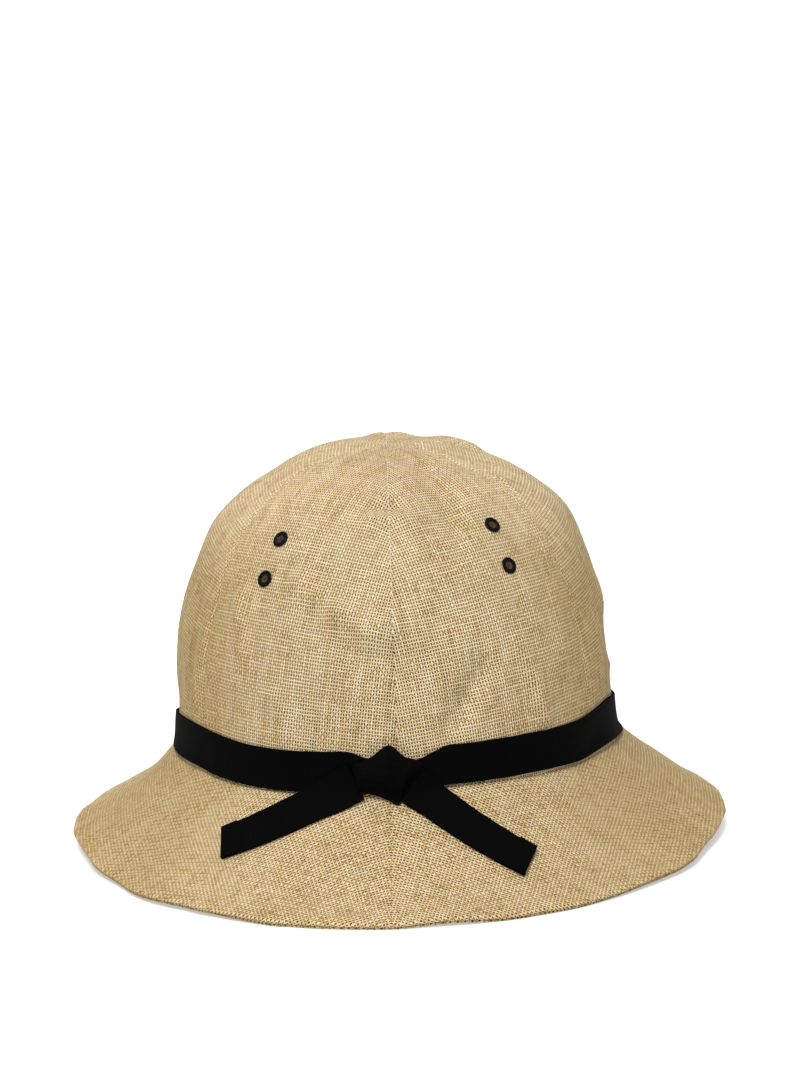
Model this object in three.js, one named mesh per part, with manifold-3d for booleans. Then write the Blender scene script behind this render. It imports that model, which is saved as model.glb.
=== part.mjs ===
// Cloche hat of straw-coloured cloth, tied round with a black ribbon.
// Millimetres, +Z up. The hat stands on its rim at z = 0, and the ribbon's knot faces -Y.
// Azimuths are degrees round the hat: 0 is the front, 90 is +X and -90 is -X.

import * as THREE from 'three';
import { mergeVertices } from 'three/addons/utils/BufferGeometryUtils.js';
import Module from 'manifold-3d';

const { clamp, degToRad, lerp, smoothstep } = THREE.MathUtils;

// Driving sizes

const GAP = 0.3; // between neighbouring pieces

const CROWN = {
  halfWidth: 87.7,
  halfLength: 93,
  height: 116.5,
  roundness: 2.64, // exponent of the dome's section: 2 is an ellipse, more is squarer
  flare: 0.8, // how much wider the foot is
  flareHeight: 12,
  foot: 42.8, // height of the foot above the table at the front and back
  sag: 4.2, // how much lower the foot lies at the sides
  cloth: 1.5,
  columns: 10, // facets across one gore
  rows: 16, // facets up one gore
  bandRows: 2, // those of them behind the ribbon
};

// The crown's six gores, each an equal share of the round, with a seam at the middle of the front.
const GORE_SPAN = 60;
const GORES = [
  { name: 'crown_front_right', middle: 30 },
  { name: 'crown_side_right', middle: 90 },
  { name: 'crown_back_right', middle: 150 },
  { name: 'crown_back_left', middle: -150 },
  { name: 'crown_side_left', middle: -90 },
  { name: 'crown_front_left', middle: -30 },
];

// Dents and folds of the soft crown. Each runs from one place to another, given as an azimuth and a
// height above the foot. Spread is its half width, and push is how far out the cloth moves there.
const CROWN_FOLDS = [
  { from: [100, 88], to: [75, 92], spread: 14, push: 2.6 }, // full right shoulder
  { from: [96, 60], to: [96, 78], spread: 12, push: 1.5 }, // below that shoulder
  { from: [112, 112], to: [60, 112], spread: 12, push: -2.2 }, // flat above that shoulder
  { from: [-112, 108], to: [-80, 106], spread: 12, push: -1.8 }, // flat on the upper left
  { from: [-100, 84], to: [-92, 88], spread: 13, push: 1.6 }, // left shoulder
  { from: [-96, 34], to: [-92, 56], spread: 14, push: 1.7 }, // left cheek
  { from: [-98, 18], to: [-88, 18], spread: 7, push: -1.0 }, // nip above the ribbon, left
  { from: [92, 32], to: [96, 46], spread: 12, push: -1.6 }, // hollow right cheek
  { from: [28, 113], to: [21, 97], spread: 7, push: -1.8 }, // valley right of the front seam
  { from: [-7, 98], to: [7, 99], spread: 5, push: 1.2 }, // ridge across the front seam
  { from: [-22, 67], to: [-8, 54], spread: 8, push: -1.6 }, // slanting fold to the front seam
  { from: [-5, 50], to: [-1, 46], spread: 13, push: -1.4 }, // shallow dent low on the front
  { from: [25, 43], to: [15, 24], spread: 7, push: -1.5 }, // slanting fold to the knot
  { from: [43, 71], to: [42, 22], spread: 6, push: 1.2 }, // upright crease, right
  { from: [-49, 69], to: [-46, 38], spread: 6, push: 1.1 }, // upright crease, left
];

const BRIM = {
  halfWidth: 131.2,
  halfLength: 139.5,
  sideLift: 8, // how far the rim rises at the sides
  settle: 0.4, // how much of the rim's waves is pressed flat on the table
  hollow: 0.3, // how much steeper the slope is at the foot than at the rim
  seamTurn: -2, // azimuth of its front seam, a little left of the crown's
  cloth: 1.8, // two layers
  hem: 3.2, // level width of the turned edge where it stands
  fade: 0.2, // share of the width, at the rim, in which its folds die out
  columns: 40,
  rows: 6,
};

// Waves along the rim: where each is, half its length, and how far the edge lifts there.
const RIM_WAVES = [
  { azimuth: 8, spread: 7, lift: 1.8 },
  { azimuth: -36, spread: 10, lift: 1.7 },
  { azimuth: -57, spread: 12, lift: -1.7 },
];

// Hollows and swells of the brim between foot and rim, placed by azimuth and share of the width.
const BRIM_FOLDS = [
  { azimuth: -104, spread: 22, out: 0.35, reach: 0.25, lift: -2.6 },
  { azimuth: 100, spread: 24, out: 0.6, reach: 0.3, lift: 1.0 },
];

const RIBBON = {
  width: 15.5,
  cloth: 1.0,
  start: 3, // azimuth of either end, under the knot
  clear: 0.4, // off the crown, whose facets it crosses
  gather: 5, // how much narrower either end is, where the knot draws it in
  gatherSpan: 14, // azimuth at which it is full width again
  ease: 3, // how softly it bends from the band onto the brim
  columns: 59,
};

// The knot, in sections from left to right. Foot and head are how far right of the front, and how
// far above the crown's foot, each section starts and ends. Thick is how far its middle stands out.
const KNOT_SECTIONS = [
  { foot: [-15.4, -1.6], head: [-17.6, 10.2], thick: 2.6 },
  { foot: [-10.4, -2.0], head: [-10.6, 13.6], thick: 5.0 },
  { foot: [-4.2, -4.0], head: [-3.5, 17.2], thick: 6.0 },
  { foot: [0.4, -5.4], head: [2.6, 13.4], thick: 5.0 },
  { foot: [2.6, 2.0], head: [6.6, 11.6], thick: 3.8 },
  { foot: [8.6, 7.4], head: [10.2, 9.8], thick: 1.6 },
];
const KNOT = {
  clear: 0.9, // off the roots of the tails
  fullness: 3, // exponent of each section's swell: 2 is a plain arch, more is flatter on top
  columns: 10,
  rows: 8,
};

// The two cut ends of the ribbon. Each lies from its root at the knot to its tip on the brim, both
// given as an azimuth and a height above the table.
const TAILS = [
  { name: 'ribbon_tail_left', root: [-11, 46], tip: [-41.4, 20.9] },
  { name: 'ribbon_tail_right', root: [1.8, 46.4], tip: [27.3, 15] },
];
const TAIL_COLUMNS = 12;
const TAIL_ROWS = 2;

// Air eyelets: azimuth and height above the crown's foot.
const EYELETS = [
  { name: 'eyelet_upper_left', azimuth: -39.9, height: 91.3 },
  { name: 'eyelet_lower_left', azimuth: -40.9, height: 77.4 },
  { name: 'eyelet_upper_right', azimuth: 38.7, height: 93.8 },
  { name: 'eyelet_lower_right', azimuth: 38.4, height: 79.5 },
];
const EYELET = {
  bore: 1.8, // radii
  barrel: 2.2,
  hole: 2.5,
  flange: 3.75,
  curl: 3.2,
  plate: 0.7, // thickness of flange and curl
  drill: 6, // depth of the hole's cutter
  sides: 20,
};

const STRAW = { color: 0xcbb38c, roughness: 0.9, metalness: 0 };
const GROSGRAIN = { color: 0x0a0a0a, roughness: 0.8, metalness: 0 };
const ENAMEL = { color: 0x101010, roughness: 0.25, metalness: 0.6 };

const wasm = await Module();
wasm.setup();

// Closed meshes

// Leaves only shared points and whole triangles, which the closed solid needs.
function closed(geometry) {
  geometry.deleteAttribute('normal');
  geometry.deleteAttribute('uv');
  const merged = mergeVertices(geometry);
  const corners = merged.getIndex().array;
  const kept = [];
  for (let i = 0; i < corners.length; i += 3) {
    const [a, b, c] = corners.slice(i, i + 3);
    if (a !== b && b !== c && c !== a) {
      kept.push(a, b, c);
    }
  }
  merged.setIndex(kept);
  merged.computeVertexNormals();
  return merged;
}

// A panel is a box bent into place: u runs across it, v up it and w out through the cloth, 0 to 1.
function bentPanel(columns, rows, place) {
  const box = new THREE.BoxGeometry(1, 1, 1, columns, rows, 1);
  const points = box.getAttribute('position');
  const corner = new THREE.Vector3();
  for (let i = 0; i < points.count; i += 1) {
    corner.fromBufferAttribute(points, i).addScalar(0.5);
    const placed = place(corner.x, corner.y, corner.z);
    points.setXYZ(i, placed.x, placed.y, placed.z);
  }
  return closed(box);
}

function toSolid(geometry) {
  return new wasm.Manifold(new wasm.Mesh({
    numProp: 3,
    vertProperties: new Float32Array(geometry.getAttribute('position').array),
    triVerts: new Uint32Array(geometry.getIndex().array),
  }));
}

function toGeometry(solid) {
  const mesh = solid.getMesh();
  const geometry = new THREE.BufferGeometry();
  geometry.setAttribute('position', new THREE.BufferAttribute(mesh.vertProperties, 3));
  geometry.setIndex(new THREE.BufferAttribute(mesh.triVerts, 1));
  geometry.computeVertexNormals();
  return geometry;
}

// Surfaces

const STEP = 0.002; // used to feel a surface's slope

// The outward normal of a surface whose first place runs to the right and second one up.
function normalOf(surface, right, up) {
  const along = surface(right + STEP, up).sub(surface(right - STEP, up));
  const climb = surface(right, up + STEP).sub(surface(right, up - STEP));
  return along.cross(climb).normalize();
}

function ellipsePoint(angle, halfWidth, halfLength, z) {
  return new THREE.Vector3(halfWidth * Math.sin(angle), -halfLength * Math.cos(angle), z);
}

// The line where crown and brim are sewn together.
function footHeight(angle) {
  return CROWN.foot - CROWN.sag * Math.sin(angle) ** 2;
}

// The crown's outer face before it is folded. Climb is the angle up from the foot's centre, a
// quarter turn at the top.
function smoothCrown(angle, climb) {
  const side = Math.max(Math.cos(climb), 0);
  const rise = Math.sin(climb);
  const reach = (side ** CROWN.roundness + Math.abs(rise) ** CROWN.roundness) ** (-1 / CROWN.roundness);
  const height = CROWN.height * reach * rise;
  const flare = CROWN.flare * Math.exp(-height / CROWN.flareHeight);
  const halfWidth = CROWN.halfWidth * reach * side + flare;
  const halfLength = CROWN.halfLength * reach * side + flare;
  const share = Math.max(reach * rise, 0);
  return ellipsePoint(angle, halfWidth, halfLength, height + lerp(footHeight(angle), CROWN.foot, share));
}

function crownPlace([azimuth, height]) {
  return smoothCrown(degToRad(azimuth), climbAt(height));
}

const FOLD_LINES = CROWN_FOLDS.map(({ from, to }) => new THREE.Line3(crownPlace(from), crownPlace(to)));

// The crown's outer face, with each fold pushing the cloth out or in along its slope.
function crownPoint(angle, climb) {
  const point = smoothCrown(angle, climb);
  const nearest = new THREE.Vector3();
  let push = 0;
  CROWN_FOLDS.forEach((fold, i) => {
    const distance = FOLD_LINES[i].closestPointToPoint(point, true, nearest).distanceTo(point);
    push += fold.push * Math.exp(-((distance / fold.spread) ** 2));
  });
  const side = Math.max(Math.cos(climb), 0);
  return point.add(ellipsePoint(angle, push * side, push * side, push * Math.sin(climb)));
}

function climbAt(height) {
  const share = height / CROWN.height;
  return Math.atan2(share, (1 - Math.abs(share) ** CROWN.roundness) ** (1 / CROWN.roundness));
}

function rimHeight(angle) {
  let height = BRIM.sideLift * Math.sin(angle) ** 4 - BRIM.settle;
  for (const wave of RIM_WAVES) {
    const distance = (angle - degToRad(wave.azimuth)) / degToRad(wave.spread);
    height += wave.lift * Math.exp(-(distance ** 2));
  }
  return Math.max(height, 0);
}

// The brim's upper face, from the foot (0) out to the rim (1).
function brimPoint(angle, out) {
  const halfWidth = lerp(CROWN.halfWidth + CROWN.flare, BRIM.halfWidth, out);
  const halfLength = lerp(CROWN.halfLength + CROWN.flare, BRIM.halfLength, out);
  const drop = out + BRIM.hollow * out * (1 - out);
  let z = lerp(footHeight(angle) - GAP, rimHeight(angle), drop);
  for (const fold of BRIM_FOLDS) {
    const across = (angle - degToRad(fold.azimuth)) / degToRad(fold.spread);
    const along = (out - fold.out) / fold.reach;
    z += fold.lift * Math.exp(-(across ** 2) - along ** 2) * smoothstep(1 - out, 0, BRIM.fade);
  }
  return ellipsePoint(angle, halfWidth, halfLength, z);
}

// Crown gores

function crownGore(middle) {
  const tip = Math.PI / 2 - GAP / CROWN.halfWidth;
  const bandShare = CROWN.bandRows / CROWN.rows;
  return bentPanel(CROWN.columns, CROWN.rows, (u, v, w) => {
    const bandClimb = climbAt(RIBBON.width * Math.min(v / bandShare, 1));
    const climb = lerp(bandClimb, tip, Math.max(v - bandShare, 0) / (1 - bandShare));
    const centre = crownPoint(degToRad(middle), climb);
    const radius = Math.hypot(centre.x, centre.y);
    const half = v === 1 ? 0 : degToRad(GORE_SPAN / 2) - GAP / 2 / radius;
    const angle = degToRad(middle) + lerp(-half, half, u);
    const inward = normalOf(crownPoint, angle, Math.min(climb, tip - 2 * STEP));
    if (v === 0) {
      inward.setZ(0).normalize();
    }
    return crownPoint(angle, climb).addScaledVector(inward, (w - 1) * CROWN.cloth);
  });
}

// Brim halves

function brimHalf(side) {
  const seam = degToRad(BRIM.seamTurn);
  return bentPanel(BRIM.columns, BRIM.rows, (u, v, w) => {
    const out = 1 - v;
    const edge = brimPoint(seam, out).length();
    const slack = GAP / 2 / edge;
    const sweep = lerp(slack, Math.PI - slack, side > 0 ? u : 1 - u);
    const angle = seam + side * sweep;
    const top = brimPoint(angle, out);
    const level = ellipsePoint(angle, 1, 1, 0);
    const down = normalOf((right, up) => brimPoint(right, 1 - up), angle, clamp(v, STEP, 1 - STEP));
    let depth = BRIM.cloth;
    if (v === 0 || v === 1) {
      down.copy(level);
      depth = v === 0 ? BRIM.hem : CROWN.cloth;
    }
    return top.addScaledVector(down, (w - 1) * depth);
  });
}

// Eyelets

function eyeletSeat({ azimuth, height }) {
  const angle = degToRad(azimuth);
  const climb = climbAt(height);
  const out = normalOf(crownPoint, angle, climb);
  const seat = new THREE.Object3D();
  seat.position.copy(crownPoint(angle, climb));
  seat.quaternion.setFromUnitVectors(new THREE.Vector3(0, 1, 0), out);
  seat.updateMatrix();
  return seat;
}

// A barrel through the cloth, with a flange over its outer face and a curl under its inner one.
function eyeletGeometry() {
  const top = GAP + EYELET.plate;
  const under = -CROWN.cloth - 2 * GAP;
  const rim = EYELET.plate / 2;
  const section = [
    [EYELET.bore, under - EYELET.plate],
    [EYELET.curl, under - EYELET.plate],
    [EYELET.curl, under],
    [EYELET.barrel, under],
    [EYELET.barrel, GAP],
    [EYELET.flange, GAP],
    [EYELET.flange - rim, top],
    [EYELET.bore + rim, top],
    [EYELET.bore, GAP],
    [EYELET.bore, under - EYELET.plate],
  ];
  return closed(new THREE.LatheGeometry(section.map(([r, y]) => new THREE.Vector2(r, y)), EYELET.sides));
}

function pierced(gore, seats) {
  let solid = toSolid(gore);
  for (const seat of seats) {
    const drill = new THREE.CylinderGeometry(EYELET.hole, EYELET.hole, EYELET.drill, EYELET.sides);
    solid = solid.subtract(toSolid(closed(drill.applyMatrix4(seat.matrix))));
  }
  return toGeometry(solid);
}

// Ribbon

// The share of the brim's width at which its slope has fallen by a share of its drop.
function outAt(drop) {
  const full = 1 + BRIM.hollow;
  return (full - Math.sqrt(full ** 2 - 4 * BRIM.hollow * drop)) / (2 * BRIM.hollow);
}

// The face that the knot and tails lie on: the band's outside, running smoothly into the brim.
function restPoint(angle, z) {
  const band = crownPoint(angle, climbAt(clamp(z - CROWN.foot, 0, RIBBON.width)));
  const bandRadius = Math.hypot(band.x, band.y) + RIBBON.clear + RIBBON.cloth;
  const foot = brimPoint(angle, 0);
  const rim = brimPoint(angle, 1);
  const out = outAt((foot.z - z) / (foot.z - rim.z));
  const brimRadius = lerp(Math.hypot(foot.x, foot.y), Math.hypot(rim.x, rim.y), out);
  const radius = (brimRadius + bandRadius + Math.hypot(brimRadius - bandRadius, RIBBON.ease)) / 2;
  const direction = Math.atan2(band.x, -band.y);
  return ellipsePoint(direction, radius, radius, z);
}

function ribbonBand() {
  const start = degToRad(RIBBON.start);
  return bentPanel(RIBBON.columns, CROWN.bandRows, (u, v, w) => {
    const angle = lerp(start, 2 * Math.PI - start, u);
    const turn = angle > Math.PI ? angle - 2 * Math.PI : angle;
    const gather = RIBBON.gather * (1 - smoothstep(Math.abs(turn), start, degToRad(RIBBON.gatherSpan)));
    const climb = climbAt((RIBBON.width - gather) * v);
    const out = normalOf(crownPoint, turn, climb);
    return crownPoint(turn, climb).addScaledVector(out, RIBBON.clear + w * RIBBON.cloth);
  });
}

// A section of the knot, drawn between the two rows of its table that are nearest.
function knotSection(share) {
  const place = share * (KNOT_SECTIONS.length - 1);
  const row = Math.min(Math.floor(place), KNOT_SECTIONS.length - 2);
  const before = KNOT_SECTIONS[row];
  const after = KNOT_SECTIONS[row + 1];
  const between = (start, end) => new THREE.Vector2(...start).lerp(new THREE.Vector2(...end), place - row);
  return {
    foot: between(before.foot, after.foot),
    head: between(before.head, after.head),
    thick: lerp(before.thick, after.thick, place - row),
  };
}

// The knot lies over the roots of both tails.
function ribbonKnot() {
  const under = KNOT.clear + RIBBON.cloth;
  return bentPanel(KNOT.columns, KNOT.rows, (u, v, w) => {
    const { foot, head, thick } = knotSection(u);
    const place = foot.lerp(head, v);
    const angle = Math.asin(place.x / (CROWN.halfLength + CROWN.flare));
    const z = CROWN.foot + place.y;
    const swell = 1 - Math.abs(2 * v - 1) ** KNOT.fullness;
    const out = normalOf(restPoint, angle, z);
    const depth = lerp(RIBBON.cloth, thick, swell);
    return restPoint(angle, z).addScaledVector(out, under + w * depth);
  });
}

function ribbonTail({ root, tip }) {
  const centre = (share) => {
    return restPoint(degToRad(lerp(root[0], tip[0], share)), lerp(root[1], tip[1], share));
  };
  return bentPanel(TAIL_COLUMNS, TAIL_ROWS, (u, v, w) => {
    const share = tip[0] > root[0] ? u : 1 - u;
    const middle = centre(share);
    const along = centre(share + STEP).sub(centre(share - STEP)).multiplyScalar(Math.sign(tip[0] - root[0]));
    const angle = degToRad(lerp(root[0], tip[0], share));
    const face = normalOf(restPoint, angle, middle.z);
    const across = face.clone().cross(along).normalize();
    const edge = middle.addScaledVector(across, (v - 0.5) * RIBBON.width);
    const edgeAngle = Math.atan2(edge.x, -edge.y);
    const out = normalOf(restPoint, edgeAngle, edge.z);
    return restPoint(edgeAngle, edge.z).addScaledVector(out, GAP + w * RIBBON.cloth);
  });
}

// Assembly

const hat = new THREE.Group();

function addPiece(name, geometry, finish) {
  const piece = new THREE.Mesh(geometry, new THREE.MeshStandardMaterial(finish));
  piece.name = name;
  hat.add(piece);
  return piece;
}

const seats = EYELETS.map((eyelet) => ({ ...eyelet, seat: eyeletSeat(eyelet) }));

for (const { name, middle } of GORES) {
  const own = seats.filter(({ azimuth }) => Math.abs(azimuth - middle) < GORE_SPAN / 2);
  const gore = crownGore(middle);
  addPiece(name, own.length > 0 ? pierced(gore, own.map(({ seat }) => seat)) : gore, STRAW);
}
addPiece('brim_right', brimHalf(1), STRAW);
addPiece('brim_left', brimHalf(-1), STRAW);
for (const { name, seat } of seats) {
  const eyelet = addPiece(name, eyeletGeometry(), ENAMEL);
  eyelet.position.copy(seat.position);
  eyelet.quaternion.copy(seat.quaternion);
}
addPiece('ribbon_band', ribbonBand(), GROSGRAIN);
addPiece('ribbon_knot', ribbonKnot(), GROSGRAIN);
for (const tail of TAILS) {
  addPiece(tail.name, ribbonTail(tail), GROSGRAIN);
}

export default hat;
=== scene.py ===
import math

import bmesh
import bpy
from mathutils import Matrix, Vector, geometry, noise


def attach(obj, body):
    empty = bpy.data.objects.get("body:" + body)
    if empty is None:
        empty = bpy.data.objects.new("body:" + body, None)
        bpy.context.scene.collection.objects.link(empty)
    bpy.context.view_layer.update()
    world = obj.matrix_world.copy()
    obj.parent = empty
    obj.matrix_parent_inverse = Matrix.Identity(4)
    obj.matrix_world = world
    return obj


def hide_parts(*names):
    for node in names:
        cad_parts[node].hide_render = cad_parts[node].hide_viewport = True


# A cloche hat of straw-coloured cloth, tied round with a black ribbon, standing on its own rim.
# Metres, +Z up, with the knot facing -Y. Azimuths go round from the knot: 90 is +X, -90 is -X.

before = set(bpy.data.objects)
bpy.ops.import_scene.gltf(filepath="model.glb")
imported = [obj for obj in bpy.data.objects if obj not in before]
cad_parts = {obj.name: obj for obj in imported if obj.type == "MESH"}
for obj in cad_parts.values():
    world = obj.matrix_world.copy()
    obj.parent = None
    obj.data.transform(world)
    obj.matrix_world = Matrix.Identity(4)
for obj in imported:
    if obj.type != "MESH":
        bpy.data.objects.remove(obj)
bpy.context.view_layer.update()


# Crown gores
# Six pointed gores of coarse plain-woven cloth, sewn edge to edge into a dome with one seam at the
# middle of the front. Nothing stiffens the cloth, so it sinks in at the seams and stands in the soft
# dents and folds that handling leaves.

CROWN_HALF_WIDTH = 0.0877
CROWN_HALF_LENGTH = 0.093
CROWN_HEIGHT = 0.1165
CROWN_ROUNDNESS = 2.64  # exponent of the dome's section: 2 is an ellipse, more is squarer
CROWN_FLARE = 0.0008
CROWN_FLARE_HEIGHT = 0.012
CROWN_FOOT = 0.0428
CROWN_SAG = 0.0042
CROWN_CLOTH = 0.0014
CROWN_UNEVEN = 0.0006
CROWN_UNEVEN_SCALE = 48.0

GORE_SPAN = math.radians(60)
GORE_COLUMNS = 80
GORE_ROWS = 140
GORE_TIP = 0.0001
GORE_TUCK = 0.0008  # how far it reaches down inside the join with the brim
EDGE_CROWDING = 0.5  # how far a panel's columns crowd towards its seams
SEAM_SLACK = 0.00003
SEAM_DIP = 0.00055
SEAM_DIP_WIDTH = 0.0014
SEAM_DIP_END = 0.02  # from the middle of the top, where the dips start to fade

# Azimuth of the middle of each gore, and how far its cloth is turned off the straight grain.
GORES = {
    "crown_front_right": (30, -5.5),
    "crown_side_right": (90, -2.0),
    "crown_back_right": (150, 3.0),
    "crown_back_left": (-150, -3.0),
    "crown_side_left": (-90, 2.0),
    "crown_front_left": (-30, 5.0),
}
GRAIN_BOW = 0.1  # how much the cross yarns sag from the middle of a gore to its seams
CUT_STEP_ACROSS = 0.37  # in the weave, from one gore's cut to the next one's
CUT_STEP_UP = 0.21

# Folds: from and to as azimuth and height above the foot, half width, and how far the cloth is out.
CROWN_FOLDS = [
    ((100, 0.088), (75, 0.092), 0.014, 0.0026),  # full right shoulder
    ((96, 0.060), (96, 0.078), 0.012, 0.0015),  # below that shoulder
    ((112, 0.112), (60, 0.112), 0.012, -0.0022),  # flat above that shoulder
    ((-112, 0.108), (-80, 0.106), 0.012, -0.0018),  # flat on the upper left
    ((-100, 0.084), (-92, 0.088), 0.013, 0.0016),  # left shoulder
    ((-96, 0.034), (-92, 0.056), 0.014, 0.0017),  # left cheek
    ((-98, 0.018), (-88, 0.018), 0.007, -0.0010),  # nip above the ribbon, left
    ((92, 0.032), (96, 0.046), 0.012, -0.0016),  # hollow right cheek
    ((28, 0.113), (21, 0.097), 0.007, -0.0018),  # valley right of the front seam
    ((-7, 0.098), (7, 0.099), 0.005, 0.0012),  # ridge across the front seam
    ((-22, 0.067), (-8, 0.054), 0.008, -0.0016),  # slanting fold to the front seam
    ((-5, 0.050), (-1, 0.046), 0.013, -0.0014),  # shallow dent low on the front
    ((25, 0.043), (15, 0.024), 0.007, -0.0015),  # slanting fold to the knot
    ((43, 0.071), (42, 0.022), 0.006, 0.0012),  # upright crease, right
    ((-49, 0.069), (-46, 0.038), 0.006, 0.0011),  # upright crease, left
]

# Sharper creases in the same terms.
CROWN_CREASES = [
    ((-28.5, 0.0770), (-15.2, 0.0666), 0.0050, 0.0027),  # fold that hangs over to the front seam
    ((-15.2, 0.0666), (-6.6, 0.0590), 0.0050, 0.0027),
    ((-5.0, 0.0595), (1.5, 0.0600), 0.0080, 0.0032),
    ((-5.5, 0.1034), (-3.0, 0.1034), 0.0034, -0.0024),  # nips above the ridge across the seam
    ((1.5, 0.1034), (3.0, 0.1034), 0.0034, -0.0022),
    ((-6.0, 0.0985), (5.0, 0.0988), 0.0034, 0.0013),
    ((32.0, 0.1128), (28.0, 0.1080), 0.0060, -0.0006),  # bottom of the valley right of the seam
    ((28.0, 0.1080), (25.5, 0.0990), 0.0060, -0.0009),
    ((25.5, 0.0990), (22.5, 0.0850), 0.0060, -0.0007),
    ((32.0, 0.1128), (12.0, 0.1077), 0.0045, -0.0005),
    ((25.0, 0.0459), (18.4, 0.0335), 0.0042, -0.0012),  # bottom of the fold to the knot
    ((18.4, 0.0335), (12.5, 0.0196), 0.0042, -0.0014),
    ((29.0, 0.0400), (17.0, 0.0190), 0.0040, 0.0009),
    ((54.0, 0.0680), (50.0, 0.0420), 0.0050, 0.0012),  # upright creases, right
    ((36.0, 0.0523), (41.6, 0.0220), 0.0034, 0.0017),
    ((62.3, 0.1057), (57.0, 0.0819), 0.0034, 0.0014),
    ((-48.9, 0.0685), (-43.0, 0.0471), 0.0030, 0.0013),  # upright creases, left
    ((-33.0, 0.0350), (-30.2, 0.0199), 0.0034, 0.0017),
    ((-62.0, 0.0560), (-66.0, 0.0230), 0.0036, 0.0011),
    ((128.0, 0.1100), (142.0, 0.1108), 0.0060, 0.0018),  # corners of the outline
    ((-124.0, 0.1000), (-112.0, 0.0960), 0.0040, -0.0014),
    ((88.0, 0.0525), (100.0, 0.0525), 0.0065, 0.0017),
    ((88.0, 0.0272), (100.0, 0.0272), 0.0035, 0.0011),
    ((118.0, 0.0900), (135.0, 0.0740), 0.0065, -0.0013),  # soft folds of the back
    ((152.0, 0.1000), (172.0, 0.0920), 0.0070, 0.0013),
    ((160.0, 0.0620), (186.0, 0.0500), 0.0075, -0.0015),
    ((148.0, 0.0440), (145.0, 0.0200), 0.0050, 0.0012),
    ((-160.0, 0.0800), (-140.0, 0.0660), 0.0065, -0.0013),
    ((-128.0, 0.0950), (-122.0, 0.0700), 0.0060, 0.0012),
    ((-150.0, 0.0380), (-153.0, 0.0190), 0.0050, 0.0012),
    ((172.0, 0.1125), (184.0, 0.1125), 0.0060, 0.0018),  # full back of the top
    ((-120.0, 0.0060), (-60.0, 0.0060), 0.0080, -0.0012),  # drawn in by the ribbon
    ((60.0, 0.0060), (120.0, 0.0060), 0.0080, -0.0012),
]

# Air eyelets in the two front gores: azimuth and height above the foot.
EYELETS = {
    "eyelet_upper_left": (-39.9, 0.0913),
    "eyelet_lower_left": (-40.9, 0.0774),
    "eyelet_upper_right": (38.7, 0.0938),
    "eyelet_lower_right": (38.4, 0.0795),
}
EYELET_HOLE = 0.0025
HOLE_SURROUND = 2.4  # holes' radii within which the cloth is divided finer
HOLE_EDGE = 2.0  # holes' radii within which a cut edge is the hole's own
HOLE_CUTS = 3


def lerp(start, end, share):
    return start + (end - start) * share


def smoothstep(value, low, high):
    share = min(max((value - low) / (high - low), 0.0), 1.0)
    return share * share * (3.0 - 2.0 * share)


def swell(distance):
    return math.exp(-distance * distance)


def around(angle, half_width, half_length, z):
    return Vector((half_width * math.sin(angle), -half_length * math.cos(angle), z))


def foot_height(angle):
    return CROWN_FOOT - CROWN_SAG * math.sin(angle) ** 2


def climb_at(height):
    share = height / CROWN_HEIGHT
    return math.atan2(share, (1.0 - abs(share) ** CROWN_ROUNDNESS) ** (1.0 / CROWN_ROUNDNESS))


def smooth_crown(angle, climb):
    side = max(math.cos(climb), 0.0)
    rise = math.sin(climb)
    reach = (side ** CROWN_ROUNDNESS + abs(rise) ** CROWN_ROUNDNESS) ** (-1.0 / CROWN_ROUNDNESS)
    height = CROWN_HEIGHT * reach * rise
    flare = CROWN_FLARE * math.exp(-height / CROWN_FLARE_HEIGHT)
    z = height + lerp(foot_height(angle), CROWN_FOOT, max(reach * rise, 0.0))
    half_width = CROWN_HALF_WIDTH * reach * side + flare
    half_length = CROWN_HALF_LENGTH * reach * side + flare
    return around(angle, half_width, half_length, z)


def crown_place(azimuth, height):
    return smooth_crown(math.radians(azimuth), climb_at(height))


SEWN_CLIMB = climb_at(0.004)  # below which the join with the brim holds the cloth smooth
FOLD_REACH = 2.6  # half widths, beyond which a fold leaves no mark
fold_lines = [
    (crown_place(*start), crown_place(*end), spread, push)
    for start, end, spread, push in CROWN_FOLDS + CROWN_CREASES
]


def crown_point(angle, climb, sink=0.0):
    point = smooth_crown(angle, climb)
    push = CROWN_UNEVEN * noise.noise(point * CROWN_UNEVEN_SCALE) - sink
    for start, end, spread, out in fold_lines:
        if (point - start).length > (end - start).length + FOLD_REACH * spread:
            continue
        share = geometry.intersect_point_line(point, start, end)[1]
        nearest = start.lerp(end, min(max(share, 0.0), 1.0))
        push += out * swell((point - nearest).length / spread)
    push *= smoothstep(climb, 0.0, SEWN_CLIMB)
    side = max(math.cos(climb), 0.0)
    return point + around(angle, push * side, push * side, push * math.sin(climb))


def facing(surface, right, up, step=0.002):
    """Outward normal of a surface whose first place runs to the right and second one up."""
    along = surface(right + step, up) - surface(right - step, up)
    climb = surface(right, up + step) - surface(right, up - step)
    return along.cross(climb).normalized()


def crowded(share):
    return share - EDGE_CROWDING * math.sin(2.0 * math.pi * share) / (2.0 * math.pi)


SAME_PLACE = 1e-6  # points nearer than this are one


def flat_cloth(columns, rows):
    cloth = bmesh.new()
    bmesh.ops.create_grid(cloth, x_segments=columns, y_segments=rows, size=0.5)
    bmesh.ops.translate(cloth, verts=cloth.verts, vec=(0.5, 0.5, 0.0))
    return cloth


def bend(cloth, place):
    """Moves a flat cloth's points to their places, and keeps where each was cut as its UV, in metres."""
    cut = cloth.loops.layers.uv.new("cut")
    spots = {}
    for vert in cloth.verts:
        vert.co, spots[vert] = place(vert.co.x, vert.co.y)
    for face in cloth.faces:
        for loop in face.loops:
            loop[cut].uv = spots[loop.vert]
    bmesh.ops.remove_doubles(cloth, verts=cloth.verts, dist=SAME_PLACE)
    cloth.normal_update()


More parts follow.
